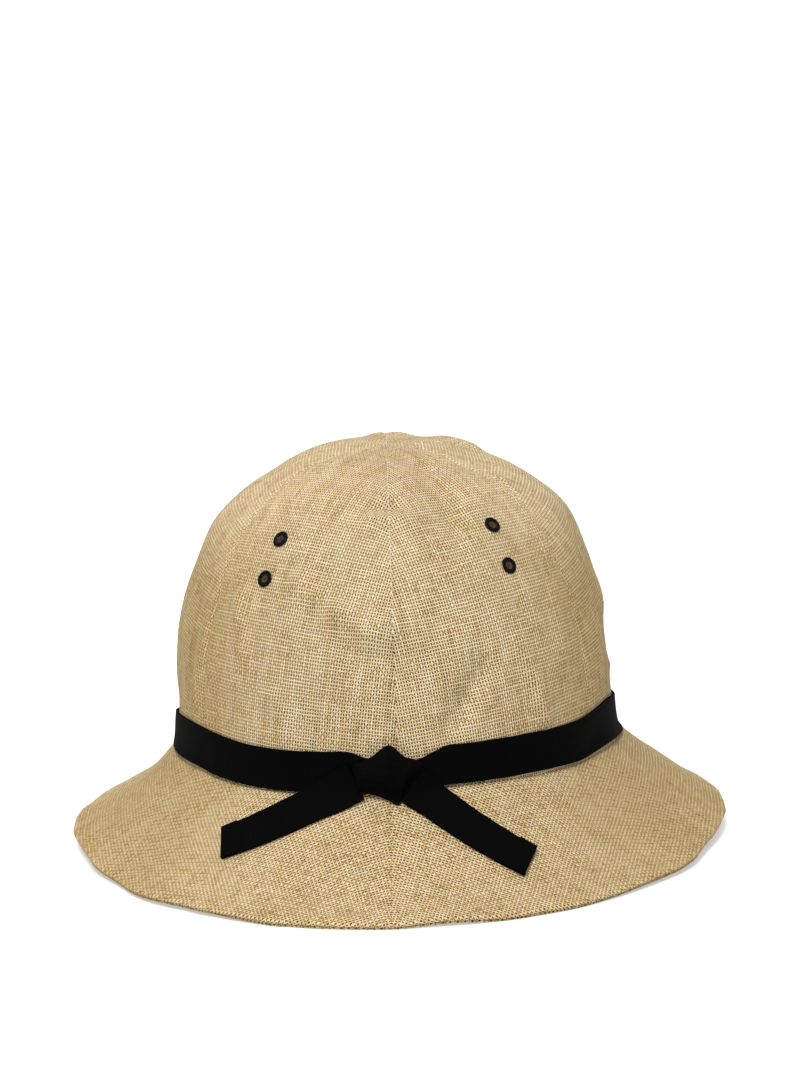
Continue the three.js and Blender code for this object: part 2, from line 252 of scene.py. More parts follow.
def add_piece(name, cloth, finish, node, sharp=40):
    mesh = bpy.data.meshes.new(name)
    cloth.to_mesh(mesh)
    cloth.free()
    mesh.shade_smooth()
    mesh.set_sharp_from_angle(angle=math.radians(sharp))
    mesh.materials.append(finish)
    piece = bpy.data.objects.new(name, mesh)
    bpy.context.scene.collection.objects.link(piece)
    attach(piece, "root")
    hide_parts(node)
    return piece


def add_node(tree, kind, sockets=None, **settings):
    node = tree.nodes.new(kind)
    for name, value in settings.items():
        setattr(node, name, value)
    for name, value in (sockets or {}).items():
        if isinstance(value, bpy.types.NodeSocket):
            tree.links.new(value, node.inputs[name])
        else:
            node.inputs[name].default_value = value
    return node


def calc(tree, operation, *values):
    return add_node(tree, "ShaderNodeMath", dict(enumerate(values)), operation=operation).outputs[0]


def vectors(tree, operation, *values, output="Vector"):
    sockets = dict(enumerate(values))
    return add_node(tree, "ShaderNodeVectorMath", sockets, operation=operation).outputs[output]


def joined(tree, x, y, z):
    return add_node(tree, "ShaderNodeCombineXYZ", {"X": x, "Y": y, "Z": z}).outputs["Vector"]


def parted(tree, vector):
    return add_node(tree, "ShaderNodeSeparateXYZ", {"Vector": vector}).outputs


GRAIN_ROUGHNESS = 0.55


def grain(tree, place, scale, detail=2.0, output="Fac"):
    sockets = {"Vector": place, "Scale": scale, "Detail": detail, "Roughness": GRAIN_ROUGHNESS}
    return add_node(tree, "ShaderNodeTexNoise", sockets).outputs[output]


def stepped(tree, value, low, high):
    sockets = {"Value": value, "From Min": low, "From Max": high}
    return add_node(tree, "ShaderNodeMapRange", sockets, interpolation_type="SMOOTHSTEP").outputs["Result"]


def blended(tree, share, first, second, kind="MIX"):
    sockets = {0: share, 6: first, 7: second}
    return add_node(tree, "ShaderNodeMix", sockets, data_type="RGBA", blend_type=kind).outputs[2]


def new_finish(name):
    finish = bpy.data.materials.new(name)
    finish.use_nodes = True
    return finish, finish.node_tree, finish.node_tree.nodes["Principled BSDF"]


# The cloth: straw yarns over and under each other, uneven in thickness and tint, with gaps between.
WARP_PITCH = 0.00111
WEFT_PITCH = 0.00136
WARP_THIN = 0.22  # half the thickness of the thinnest yarns, in yarns
WEFT_THIN = 0.115
YARN_SLUB = 0.22  # how much thicker the thickest are
YARN_SLUB_RATE = 0.2  # how fast the thickness changes along a yarn
YARN_WANDER = 0.6
YARN_WANDER_SCALE = 95.0
YARN_WANDER_DETAIL = 3.0
YARN_LEVEL = 0.58  # height of a yarn halfway between over and under
YARN_DIP = 0.42
WARP_SEED = 1.7
WEFT_SEED = 8.3
STREAK_SEED = 11.3
SLUB_SCATTER = 7.31  # how far apart neighbouring yarns draw their thickness
STREAK_SCATTER = 5.17  # and their tint
WEFT_STREAKS = 2.5  # how much faster the tint changes along the weft
MOTTLE = 0.3
MOTTLE_SCALE = (0.13, 0.022, 0.0)
CLOSER = 0.09  # how much of a gap is filled away from the front, so less of its painted shade shows
WEAVE_DEPTH = 0.00035
CLOTH_ROUGHNESS = 0.88
CLOTH_SPECULAR = 0.2

YARN_TINTS = [  # where along the tint's range, and the linear colour
    (0.22, (0.410, 0.248, 0.098, 1.0)),
    (0.40, (0.575, 0.435, 0.240, 1.0)),
    (0.68, (0.715, 0.602, 0.415, 1.0)),
]
# Painted shade on the yarns' rounded edges and where they dip under each other.
YARN_EDGE_SHADE = (0.800, 0.680, 0.490, 1.0)
# Painted shade in the gaps between the yarns: darker on the right, away from the light, and darkest low
# over the front, where the dark inside shows through.
GAP_SHADE_LEFT = (0.300, 0.205, 0.105, 1.0)  # painted shade in the gaps on the left, as a share of the yarns' own tint
GAP_SHADE_RIGHT = (0.130, 0.078, 0.032, 1.0)
OPEN_GAP_SHADE = (0.060, 0.036, 0.014, 1.0)
# Painted shade on the sides of the crown and the brim, laid in the colour away from the front, the top and
# the back.
SIDE_SHADE = (0.770, 0.730, 0.585, 1.0)
WHITE = (1.0, 1.0, 1.0, 1.0)

# Where each change of the cloth starts and is full.
YARN_ROUND = (0.15, 0.6)  # height of a yarn, from its edge in painted shade to its top
GAP_DEPTH = (0.0, 0.45)  # height of the cloth, from a gap in painted shade to a yarn
FRONT = (-0.52, -0.95)  # way that a place faces: -1 is the front, 1 the back
LIT_BACK = (-0.1, 0.5)
LIT_TOP = (0.105, 0.145)  # height above the table, above which no painted side shade is laid
# Below this height over the front, the gaps take their darkest painted shade.
BELOW_TOP = (0.166, 0.132)
# Across the hat, over which the gaps' painted shade darkens from left to right, away from the light.
LEFT_TO_RIGHT = (-0.07, 0.06)


def yarn(tree, across, along, over, thin, streaks, seed):
    """Height and tint of one set of yarns, counted by their place across it."""
    number = calc(tree, "FLOOR", across)
    offset = calc(tree, "ABSOLUTE", calc(tree, "SUBTRACT", calc(tree, "FRACT", across), 0.5))
    slub = joined(
        tree,
        calc(tree, "MULTIPLY", number, SLUB_SCATTER),
        calc(tree, "MULTIPLY", along, YARN_SLUB_RATE),
        seed,
    )
    half = calc(tree, "MULTIPLY_ADD", grain(tree, slub, 1.0), YARN_SLUB, thin)
    share = calc(tree, "DIVIDE", offset, half)
    square = calc(tree, "MULTIPLY", share, share)
    arch = calc(tree, "SQRT", calc(tree, "MAXIMUM", calc(tree, "SUBTRACT", 1.0, square), 0.0))
    streak = joined(
        tree,
        calc(tree, "MULTIPLY", number, STREAK_SCATTER),
        calc(tree, "MULTIPLY", along, streaks),
        seed + STREAK_SEED,
    )
    return calc(tree, "MULTIPLY", arch, over), grain(tree, streak, 1.0)


def count_yarns(tree):
    """Yarns counted across and up a piece's flat cut, wandering a little."""
    cut = add_node(tree, "ShaderNodeUVMap", uv_map="cut").outputs["UV"]
    drawn = grain(tree, cut, YARN_WANDER_SCALE, YARN_WANDER_DETAIL, "Color")
    drift = vectors(tree, "SUBTRACT", drawn, (0.5, 0.5, 0.5))
    shift = vectors(tree, "MULTIPLY", drift, (YARN_WANDER, YARN_WANDER, 0.0))
    return vectors(tree, "MULTIPLY_ADD", cut, (1.0 / WARP_PITCH, 1.0 / WEFT_PITCH, 0.0), shift)


def weave(tree, counted, streaks):
    """Height and tint of the plain weave, and its crossings: 1 is warp over weft, -1 weft over warp."""
    counts = parted(tree, counted)
    across = counts["X"]
    up = counts["Y"]
    crossing = calc(
        tree,
        "MULTIPLY",
        calc(tree, "SINE", calc(tree, "MULTIPLY", across, math.pi)),
        calc(tree, "SINE", calc(tree, "MULTIPLY", up, math.pi)),
    )
    warp_over = calc(tree, "MULTIPLY_ADD", crossing, YARN_DIP, YARN_LEVEL)
    weft_over = calc(tree, "MULTIPLY_ADD", crossing, -YARN_DIP, YARN_LEVEL)
    warp, warp_tint = yarn(tree, across, up, warp_over, WARP_THIN, streaks, WARP_SEED)
    weft, weft_tint = yarn(tree, up, across, weft_over, WEFT_THIN, WEFT_STREAKS * streaks, WEFT_SEED)
    tint = add_node(tree, "ShaderNodeMix", {
        0: calc(tree, "GREATER_THAN", warp, weft),
        2: weft_tint,
        3: warp_tint,
    }).outputs[0]
    return calc(tree, "MAXIMUM", warp, weft), tint, crossing


def place_on_hat(tree):
    """A place's own coordinates, and which way it faces, from -1 at the front to 1 at the back."""
    place = add_node(tree, "ShaderNodeTexCoord").outputs["Object"]
    spot = parted(tree, place)
    level = vectors(tree, "MULTIPLY", place, (1.0, 1.0, 0.0))
    return spot, calc(tree, "DIVIDE", spot["Y"], vectors(tree, "LENGTH", level, output="Value"))


def straw_tint(tree, tint):
    ramp = add_node(tree, "ShaderNodeValToRGB", {"Fac": tint})
    ramp.color_ramp.elements.new(0.5)
    for stop, (position, tone) in zip(ramp.color_ramp.elements, YARN_TINTS):
        stop.position = position
        stop.color = tone
    return ramp.outputs["Color"]


def woven_cloth(name, most_open_and_lit, float_light, specks, streaks):
    """Plain weave on a piece's flat cut. Its gaps are most open over the front of the crown. Painted shade
    darkens its gaps, its yarns' edges and the sides of the hat, and painted light makes its warp floats
    lighter than its weft floats.
    """
    cloth, tree, shader = new_finish(name)
    counted = count_yarns(tree)
    height, tint, crossing = weave(tree, counted, streaks)
    spot, way = place_on_hat(tree)
    front = stepped(tree, way, *FRONT)
    # Share over the front where the gaps are most open and no painted side shade is laid.
    front_open_and_lit = calc(tree, "MULTIPLY", front, most_open_and_lit)

    mottle = grain(tree, vectors(tree, "MULTIPLY", counted, MOTTLE_SCALE), 1.0)
    cell = vectors(tree, "FLOOR", counted)
    speck = add_node(tree, "ShaderNodeTexWhiteNoise", {"Vector": cell}).outputs["Value"]
    # Painted light: warp floats are lighter than weft floats, as light falls on them, twice as much away
    # from the front.
    lit_floats = calc(tree, "MULTIPLY_ADD", front, -float_light, 2.0 * float_light)
    tint = calc(tree, "ADD", tint, calc(tree, "MULTIPLY_ADD", mottle, MOTTLE, -MOTTLE / 2.0))
    tint = calc(tree, "ADD", tint, calc(tree, "MULTIPLY_ADD", speck, 2.0 * specks, -specks))
    tint = calc(tree, "ADD", tint, calc(tree, "MULTIPLY", crossing, lit_floats))
    straw = straw_tint(tree, tint)

    # Painted shade on the yarns' edges and where they dip under each other.
    edges = blended(tree, 1.0, straw, YARN_EDGE_SHADE, "MULTIPLY")
    # Painted shade in the gaps: darker to the right, away from the light, and darkest low over the front.
    gap_shade_across = blended(tree, stepped(tree, spot["X"], *LEFT_TO_RIGHT), GAP_SHADE_LEFT, GAP_SHADE_RIGHT)
    darkest_gap_share = calc(tree, "MULTIPLY", front_open_and_lit, stepped(tree, spot["Z"], *BELOW_TOP))
    depth = blended(tree, darkest_gap_share, gap_shade_across, OPEN_GAP_SHADE)
    gaps = blended(tree, 1.0, straw, depth, "MULTIPLY")
    cover = calc(tree, "ADD", height, calc(tree, "MULTIPLY_ADD", front_open_and_lit, -CLOSER, CLOSER))
    yarns = blended(tree, stepped(tree, cover, *YARN_ROUND), edges, straw)
    colour = blended(tree, stepped(tree, cover, *GAP_DEPTH), gaps, yarns)

    # Painted shade: the sides are darkened in the colour, except over the front, the top and the back.
    lit = calc(tree, "MAXIMUM", front_open_and_lit, stepped(tree, spot["Z"], *LIT_TOP))
    lit = calc(tree, "MAXIMUM", lit, stepped(tree, way, *LIT_BACK))
    shade = blended(tree, lit, SIDE_SHADE, WHITE)
    colour = blended(tree, 1.0, colour, shade, "MULTIPLY")
    relief = add_node(tree, "ShaderNodeBump", {"Height": height, "Strength": 1.0, "Distance": WEAVE_DEPTH})
    tree.links.new(colour, shader.inputs["Base Color"])
    tree.links.new(relief.outputs["Normal"], shader.inputs["Normal"])
    shader.inputs["Roughness"].default_value = CLOTH_ROUGHNESS
    shader.inputs["Specular IOR Level"].default_value = CLOTH_SPECULAR
    return cloth


crown_cloth = woven_cloth("crown_straw_cloth", most_open_and_lit=1.0, float_light=0.05, specks=0.05, streaks=0.06)


def eyelet_seat(name):
    azimuth, height = EYELETS[name]
    angle = math.radians(azimuth)
    climb = climb_at(height)
    return crown_point(angle, climb), facing(crown_point, angle, climb)


def pierce(cloth, centre, radius):
    surround = HOLE_SURROUND * radius
    near = [edge for edge in cloth.edges if (edge.verts[0].co - centre).length < surround]
    bmesh.ops.subdivide_edges(cloth, edges=near, cuts=HOLE_CUTS, use_grid_fill=True)
    hole = [face for face in cloth.faces if (face.calc_center_median() - centre).length < radius]
    bmesh.ops.delete(cloth, geom=hole, context="FACES")
    for vert in cloth.verts:
        if vert.is_boundary and (vert.co - centre).length < HOLE_EDGE * radius:
            vert.co = centre + (vert.co - centre).normalized() * radius


def crown_gore(middle, grain_turn, offset):
    """One gore, cut with its yarns running up its middle."""
    top = math.pi / 2.0 - GORE_TIP / CROWN_HALF_WIDTH
    climbs = [lerp(climb_at(-GORE_TUCK), top, row / GORE_ROWS) for row in range(GORE_ROWS + 1)]
    spine = [smooth_crown(middle, climb) for climb in climbs]
    lengths = [0.0]
    tapers = []
    for below, above in zip(spine, spine[1:]):
        lengths.append(lengths[-1] + (above - below).length)
        tapers.append((below.xy.length - above.xy.length) / (above - below).length)
    tapers.append(tapers[-1])
    straight = Matrix.Rotation(grain_turn, 2)

    def place(u, v):
        row = round(v * GORE_ROWS)
        radius = spine[row].xy.length
        half = max(GORE_SPAN / 2.0 - SEAM_SLACK / radius, 0.0) if row < GORE_ROWS else 0.0
        turn = lerp(-half, half, crowded(u))
        edge = (half - abs(turn)) * radius
        sink = SEAM_DIP * swell(edge / SEAM_DIP_WIDTH) * smoothstep(radius, 0.0, SEAM_DIP_END)
        bow = lerp(GRAIN_BOW, 1.0, tapers[row] ** 2)
        rise = radius * (1.0 - math.cos(bow * turn)) / bow
        spot = offset + straight @ Vector((turn * radius, lengths[row] + rise))
        return crown_point(middle + turn, climbs[row], sink), spot

    gore = flat_cloth(GORE_COLUMNS, GORE_ROWS)
    bend(gore, place)
    return gore, (GORE_SPAN * max(point.xy.length for point in spine), lengths[-1])


for number, (node, (azimuth, grain_turn)) in enumerate(GORES.items()):
    offset = Vector((CUT_STEP_ACROSS * number, CUT_STEP_UP * number))
    gore, gore_size = crown_gore(math.radians(azimuth), math.radians(grain_turn), offset)
    for name, (eyelet_azimuth, _) in EYELETS.items():
        if abs(math.radians(eyelet_azimuth - azimuth)) < GORE_SPAN / 2.0:
            pierce(gore, eyelet_seat(name)[0], EYELET_HOLE)
    gore.normal_update()
    bmesh.ops.solidify(gore, geom=gore.faces[:], thickness=CROWN_CLOTH)
    piece = add_piece(node + "_cloth", gore, crown_cloth, node)


# Brim halves
# Two flat-cut halves of the same cloth, doubled, joined at the front and the back and sewn to the
# foot of the crown. The rim is turned under and pressed, so its edge is thick, with a faint ridge
# inside it, and the hat stands on it.

BRIM_HALF_WIDTH = 0.1312
BRIM_HALF_LENGTH = 0.1395
BRIM_SIDE_LIFT = 0.008
BRIM_SETTLE = 0.0004
BRIM_HOLLOW = 0.3
BRIM_SEAM = math.radians(-2)
BRIM_FADE = 0.2
BRIM_CLOTH = 0.0018
BRIM_COLUMNS = 280
BRIM_TOP_ROWS = 30
BRIM_EDGE_ROWS = 28
BRIM_ROW_CROWDING = 1.6  # towards the rim
BRIM_STEP = 0.01  # share of the width over which its slope is taken
BRIM_UNDER_EVERY = 2  # rows of the top for each row of the underside
BRIM_EDGE = 0.987  # share of the width at which the edge starts to turn
BRIM_SLANT = 0.063
BRIM_FLATTENING = 75 / 90  # a turn on the flat cut for each turn round the hat
BRIM_SHRINK = 0.935  # the brim's cloth is stretched a little over its width
BRIM_UNEVEN = 0.0006
HEM_RADIUS = 0.0013
HEM_SQUARENESS = 4.0  # exponent of the edge's section: 2 is round, more is squarer
HEM_RISE = 0.0022  # where the table holds the edge up
HEM_RISE_WIDTH = 0.020
HEM_FREE = 0.0050  # height of the rim at which nothing holds it up
HEM_STEP = 0.0004
HEM_INNER = 0.0045  # from the edge, where the turned cloth ends
HEM_OUTER = 0.0065
HEM_GROOVE = 0.0009  # between the upper and the lower cloth
HEM_GROOVE_WIDTH = 0.22
RIM_CORNERS = [  # azimuth, half length, how far the edge is out
    (-102, 9, -0.0012),
    (-84, 4, 0.0007),
    (-74, 4, -0.0005),
    (-66, 4, 0.0004),
    (-60, 7, -0.0018),
    (-49, 4, 0.0006),
    (-22, 6, 0.0005),
    (30, 6, 0.0005),
    (57, 7, 0.0018),
    (68, 5, -0.0005),
    (84, 4, 0.0007),
    (102, 9, -0.0012),
]
RIM_UNEVEN = 0.0004
RIM_UNEVEN_SCALE = 90.0
RIM_WAVES = [  # azimuth, half length, lift
    (8, 7, 0.0018),
    (-36, 10, 0.0017),
    (-57, 12, -0.0017),
]
BRIM_FOLDS = [  # azimuth, half length, share of the width, half width, lift
    (-104, 22, 0.35, 0.25, -0.0026),
    (100, 24, 0.6, 0.3, 0.0010),
]


def rim_height(angle):
    height = BRIM_SIDE_LIFT * math.sin(angle) ** 4 - BRIM_SETTLE
    for azimuth, spread, lift in RIM_WAVES:
        height += lift * swell((math.degrees(angle) - azimuth) / spread)
    return max(height, 0.0)


def plain_brim(angle, out):
    half_width = lerp(CROWN_HALF_WIDTH + CROWN_FLARE, BRIM_HALF_WIDTH, out)
    half_length = lerp(CROWN_HALF_LENGTH + CROWN_FLARE, BRIM_HALF_LENGTH, out)
    drop = out + BRIM_HOLLOW * out * (1.0 - out)
    z = lerp(foot_height(angle), rim_height(angle), drop)
    for azimuth, spread, middle, reach, lift in BRIM_FOLDS:
        across = swell((math.degrees(angle) - azimuth) / spread)
        z += lift * across * swell((out - middle) / reach) * smoothstep(1.0 - out, 0.0, BRIM_FADE)
    return around(angle, half_width, half_length, z)


def brim_point(angle, out):
    round_rim = around(angle, RIM_UNEVEN_SCALE, RIM_UNEVEN_SCALE, 0.0) * BRIM_HALF_WIDTH
    corner = RIM_UNEVEN * noise.noise(round_rim)
    for azimuth, spread, push in RIM_CORNERS:
        corner += push * swell((math.degrees(angle) - azimuth) / spread)
    return plain_brim(angle, out) + around(angle, corner * out ** 3, corner * out ** 3, 0.0)


def brim_section(angle, seam_distance):
    """The closed outline of the brim at one place, from the foot's underside round the rim to its top."""
    right = around(angle + math.pi / 2.0, 1.0, 1.0, 0.0)
    tops = []
    slant = 0.0
    pressed = HEM_RISE * (1.0 - smoothstep(rim_height(angle), 0.0, HEM_FREE))
    for row in range(BRIM_TOP_ROWS + 1):
        out = BRIM_EDGE * (1.0 - (1.0 - row / BRIM_TOP_ROWS) ** BRIM_ROW_CROWDING)
        slope = brim_point(angle, out + BRIM_STEP) - brim_point(angle, out - BRIM_STEP)
        slope.normalize()
        normal = slope.cross(right)
        inset = (BRIM_EDGE - out) * BRIM_SLANT
        point = brim_point(angle, out)
        rise = pressed * (1.0 - smoothstep(inset, 0.0, HEM_RISE_WIDTH))
        rise += HEM_STEP * (1.0 - smoothstep(inset, HEM_INNER, HEM_OUTER))
        rise += BRIM_UNEVEN * noise.noise(point * CROWN_UNEVEN_SCALE)
        rise -= SEAM_DIP * swell(seam_distance / SEAM_DIP_WIDTH)
        if tops:
            slant += (point - last).length
        last = point
        tops.append((point + normal * rise, slope, normal, inset, slant))
    under = []
    for point, slope, normal, inset, slant in tops[::BRIM_UNDER_EVERY]:
        depth = lerp(2.0 * HEM_RADIUS, BRIM_CLOTH, smoothstep(inset, HEM_INNER, HEM_OUTER))
        under.append((point - normal * depth, slant))
    point, slope, normal, inset, slant = tops[-1]
    middle = point - normal * HEM_RADIUS
    edge = []
    for row in range(BRIM_EDGE_ROWS - 1, 0, -1):
        turn = math.pi * row / BRIM_EDGE_ROWS
        wrap = HEM_RADIUS * min(turn, math.pi - turn)
        level = math.cos(turn)
        reach = HEM_RADIUS * (1.0 - abs(level) ** HEM_SQUARENESS) ** (1.0 / HEM_SQUARENESS)
        reach -= HEM_GROOVE * swell(level / HEM_GROOVE_WIDTH)
        edge.append((middle + normal * (level * HEM_RADIUS) + slope * reach, slant + wrap))
    upper = [(point, slant) for point, slope, normal, inset, slant in reversed(tops)]
    section = under + edge + upper + under[:1]
    return [(Vector((point.x, point.y, max(point.z, 0.0))), slant) for point, slant in section]


def brim_half(side):
    radius = (BRIM_HALF_WIDTH + CROWN_HALF_WIDTH) / 2.0
    slack = SEAM_SLACK / radius
    sections = []
    for column in range(BRIM_COLUMNS + 1):
        sweep = math.pi * crowded(column / BRIM_COLUMNS)
        sweep = min(max(sweep, slack), math.pi - slack)
        seam_distance = min(sweep, math.pi - sweep) * radius
        section = brim_section(BRIM_SEAM + side * sweep, seam_distance)
        sections.append((sweep - math.pi / 2.0, section))
    rows = len(sections[0][1]) - 1
    cut_radius = CROWN_HALF_LENGTH / BRIM_FLATTENING

    def place(u, v):
        column = round((u if side > 0 else 1.0 - u) * BRIM_COLUMNS)
        turn, section = sections[column]
        point, slant = section[round(v * rows)]
        reach = cut_radius + slant
        turn *= side * BRIM_FLATTENING
        return point, Vector((reach * math.sin(turn), reach * math.cos(turn))) * BRIM_SHRINK

    half = flat_cloth(BRIM_COLUMNS, rows)
    bend(half, place)
    bmesh.ops.holes_fill(half, edges=[edge for edge in half.edges if edge.is_boundary])
    bmesh.ops.recalc_face_normals(half, faces=half.faces[:])
    widest = cut_radius + BRIM_SLANT
    half_turn = math.pi / 2.0 * BRIM_FLATTENING
    return half, (2.0 * widest * math.sin(half_turn), widest - cut_radius * math.cos(half_turn))


brim_cloth = woven_cloth("brim_straw_cloth", most_open_and_lit=0.55, float_light=0.10, specks=0.10, streaks=0.3)
for node, side in (("brim_right", 1), ("brim_left", -1)):
    half, half_size = brim_half(side)
    piece = add_piece(node + "_cloth", half, brim_cloth, node)


# Eyelets
# Four black enamelled metal air eyelets, two in each front gore. Each is a short barrel pressed
# through the cloth, with a rolled flange outside and a clenched curl inside.

EYELET_BORE = 0.0014
EYELET_BARREL = 0.0022
EYELET_FLANGE = 0.0034
EYELET_CURL = 0.0032
EYELET_PLATE = 0.0007
EYELET_CLEAR = 0.0001
EYELET_STEPS = 48
FLANGE_STEPS = 6
LIP_STEPS = 4
BARE_BORE = 1.02  # bores' radii within which the enamel has worn off

ENAMEL_TINT = (0.002, 0.002, 0.002, 1.0)
WORN_TINT = (0.012, 0.010, 0.008, 1.0)
WEAR_SCALE = 900.0
WEAR_DETAIL = 4.0
WEAR_FROM = 0.55
WEAR_TO = 0.8
ENAMEL_ROUGHNESS = 0.12
WORN_ROUGHNESS = 0.3  # more where it is worn
ENAMEL_SPECULAR = 0.12

TARNISH_TINT = (0.01, 0.006, 0.004, 1.0)
METAL_TINT = (0.40, 0.24, 0.13, 1.0)
TARNISH_SCALE = 1500.0
TARNISH_DETAIL = 3.0
METAL_ROUGHNESS = 0.45
METAL_SHARE = 0.5


def eyelet_enamel():
    finish, tree, shader = new_finish("eyelet_enamel")
    place = add_node(tree, "ShaderNodeTexCoord").outputs["Object"]
    worn = add_node(tree, "ShaderNodeMapRange", {
        "Value": grain(tree, place, WEAR_SCALE, WEAR_DETAIL),
        "From Min": WEAR_FROM,
        "From Max": WEAR_TO,
    }).outputs["Result"]
    roughness = calc(tree, "MULTIPLY_ADD", worn, WORN_ROUGHNESS, ENAMEL_ROUGHNESS)
    tree.links.new(blended(tree, worn, ENAMEL_TINT, WORN_TINT), shader.inputs["Base Color"])
    tree.links.new(roughness, shader.inputs["Roughness"])
    shader.inputs["Specular IOR Level"].default_value = ENAMEL_SPECULAR
    return finish


def eyelet_bare_metal():
    finish, tree, shader = new_finish("eyelet_bare_metal")
    place = add_node(tree, "ShaderNodeTexCoord").outputs["Object"]
    stain = grain(tree, place, TARNISH_SCALE, TARNISH_DETAIL)
    tree.links.new(blended(tree, stain, TARNISH_TINT, METAL_TINT), shader.inputs["Base Color"])
    shader.inputs["Roughness"].default_value = METAL_ROUGHNESS
    shader.inputs["Metallic"].default_value = METAL_SHARE
    return finish


def rounded(radius, height, bend_radius, start, end, steps):
    """Points of a profile round a bend, whose angles are 0 outwards and 90 upwards."""
    angles = [math.radians(lerp(start, end, step / steps)) for step in range(steps + 1)]
    return [
        (radius + bend_radius * math.cos(angle), height + bend_radius * math.sin(angle))
        for angle in angles
    ]


def eyelet_ring():
    """One eyelet round the Z axis, with the cloth's outer face at zero."""
    rim = EYELET_PLATE / 2.0
    under = -CROWN_CLOTH - EYELET_CLEAR
    profile = [
        (EYELET_BORE, under - EYELET_PLATE),
        (EYELET_CURL - rim, under - EYELET_PLATE),
        (EYELET_CURL, under - rim),
        (EYELET_CURL - rim, under),
        (EYELET_BARREL, under),
        (EYELET_BARREL, EYELET_CLEAR),
    ]
    profile += rounded(EYELET_FLANGE - rim, EYELET_CLEAR + rim, rim, -90, 90, FLANGE_STEPS)
    profile += rounded(EYELET_BORE + EYELET_PLATE, EYELET_CLEAR, EYELET_PLATE, 90, 180, LIP_STEPS)
    ring = bmesh.new()
    verts = [ring.verts.new((radius, 0.0, height)) for radius, height in profile]
    edges = [ring.edges.new(pair) for pair in zip(verts, verts[1:] + verts[:1])]
    bmesh.ops.spin(
        ring,
        geom=verts + edges,
        cent=(0.0, 0.0, 0.0),
        axis=(0.0, 0.0, 1.0),
        angle=2.0 * math.pi,
        steps=EYELET_STEPS,
        use_merge=True,
    )
    bmesh.ops.remove_doubles(ring, verts=ring.verts, dist=SAME_PLACE)
    bmesh.ops.recalc_face_normals(ring, faces=ring.faces[:])
    for face in ring.faces:
        if face.calc_center_median().xy.length < EYELET_BORE * BARE_BORE:
            face.material_index = 1
    return ring


enamel = eyelet_enamel()
bare_metal = eyelet_bare_metal()
for node in EYELETS:
    centre, out = eyelet_seat(node)
    ring = eyelet_ring()
    seat = Matrix.Translation(centre) @ out.to_track_quat("Z", "Y").to_matrix().to_4x4()
    bmesh.ops.transform(ring, matrix=seat, verts=ring.verts)
    piece = add_piece(node + "_metal", ring, enamel, node, sharp=50)
    piece.data.materials.append(bare_metal)


# Ribbon band
# One length of black grosgrain, a ribbed ribbon, laid round the foot of the crown over the join with
# the brim and drawn in at the front by the knot. It has ridden up a little in front of both sides, and
# behind them it has slipped down onto the brim.

RIBBON_WIDTH = 0.0155
RIBBON_CLOTH = 0.0009
RIBBON_CLEAR = 0.0002
RIBBON_RIB = 0.0008
RIBBON_EASE = 0.003  # how softly it bends from the crown onto the brim
RIBBON_START = math.radians(3)
RIBBON_GATHER = 0.005
RIBBON_GATHER_SPAN = math.radians(14)
BAND_COLUMNS = 480
BAND_ROWS = 10
BAND_STANDS_OFF = 0.0002  # at the sides
BAND_SIDE = 90.0
BAND_SIDE_SPREAD = 13.0
BAND_BRIM = 0.1  # share of the brim's width whose slope it takes
BAND_LIFTS = [  # azimuth, half length, how far its lower and its upper edge have ridden up
    (-106, 18, 0.0004, -0.0055),
    (-68, 20, 0.0012, 0.0022),
    (-28, 22, -0.0020, -0.0014),
    (40, 26, 0.0008, 0.0009),
    (73, 14, 0.0016, 0.0032),
    (105, 18, -0.0044, -0.0042),
]
BAND_PLEAT = 0.0004
BAND_PLEATS = 3  # across its width at the knot

# Painted shade in the troughs between the ribs and painted light on their crests.
RIB_TROUGH_SHADE = (0.0005, 0.0005, 0.0006, 1.0)
RIB_CREST_LIGHT = (0.0030, 0.0029, 0.0031, 1.0)
RIB_STRENGTH = 0.7
RIB_DEPTH = 0.0002
FIBRE_SCALE = 1800.0
FIBRE_DETAIL = 3.0
FIBRE_HEIGHT = 0.35  # in ribs' heights
RIBBON_ROUGHNESS = 0.78
RIBBON_SPECULAR = 0.02


def ribbed_ribbon():
    finish, tree, shader = new_finish("grosgrain")
    cut = add_node(tree, "ShaderNodeUVMap", uv_map="cut").outputs["UV"]
    along = parted(tree, cut)["X"]
    wave = calc(tree, "SINE", calc(tree, "MULTIPLY", along, math.pi / RIBBON_RIB))
    rib = calc(tree, "SQRT", calc(tree, "ABSOLUTE", wave))
    fibre = grain(tree, cut, FIBRE_SCALE, FIBRE_DETAIL)
    # Painted shade in the rib troughs and painted light on the crests, mottled by the fibres' own tone.
    black = blended(tree, calc(tree, "MULTIPLY", rib, fibre), RIB_TROUGH_SHADE, RIB_CREST_LIGHT)
    relief = add_node(tree, "ShaderNodeBump", {
        "Height": calc(tree, "MULTIPLY_ADD", fibre, FIBRE_HEIGHT, rib),
        "Strength": RIB_STRENGTH,
        "Distance": RIB_DEPTH,
    })
    tree.links.new(black, shader.inputs["Base Color"])
    tree.links.new(relief.outputs["Normal"], shader.inputs["Normal"])
    shader.inputs["Roughness"].default_value = RIBBON_ROUGHNESS
    shader.inputs["Specular IOR Level"].default_value = RIBBON_SPECULAR
    return finish


grosgrain = ribbed_ribbon()


def both_faces(v, rows):
    """A ribbon's rows run up its front and down its back: how far across, and 1 on the front, 0 behind."""
    row = round(v * (2 * rows + 2))
    if row <= rows:
        return row / rows, 1.0
    if row <= 2 * rows + 1:
        return (2 * rows + 1 - row) / rows, 0.0
    return 0.0, 1.0


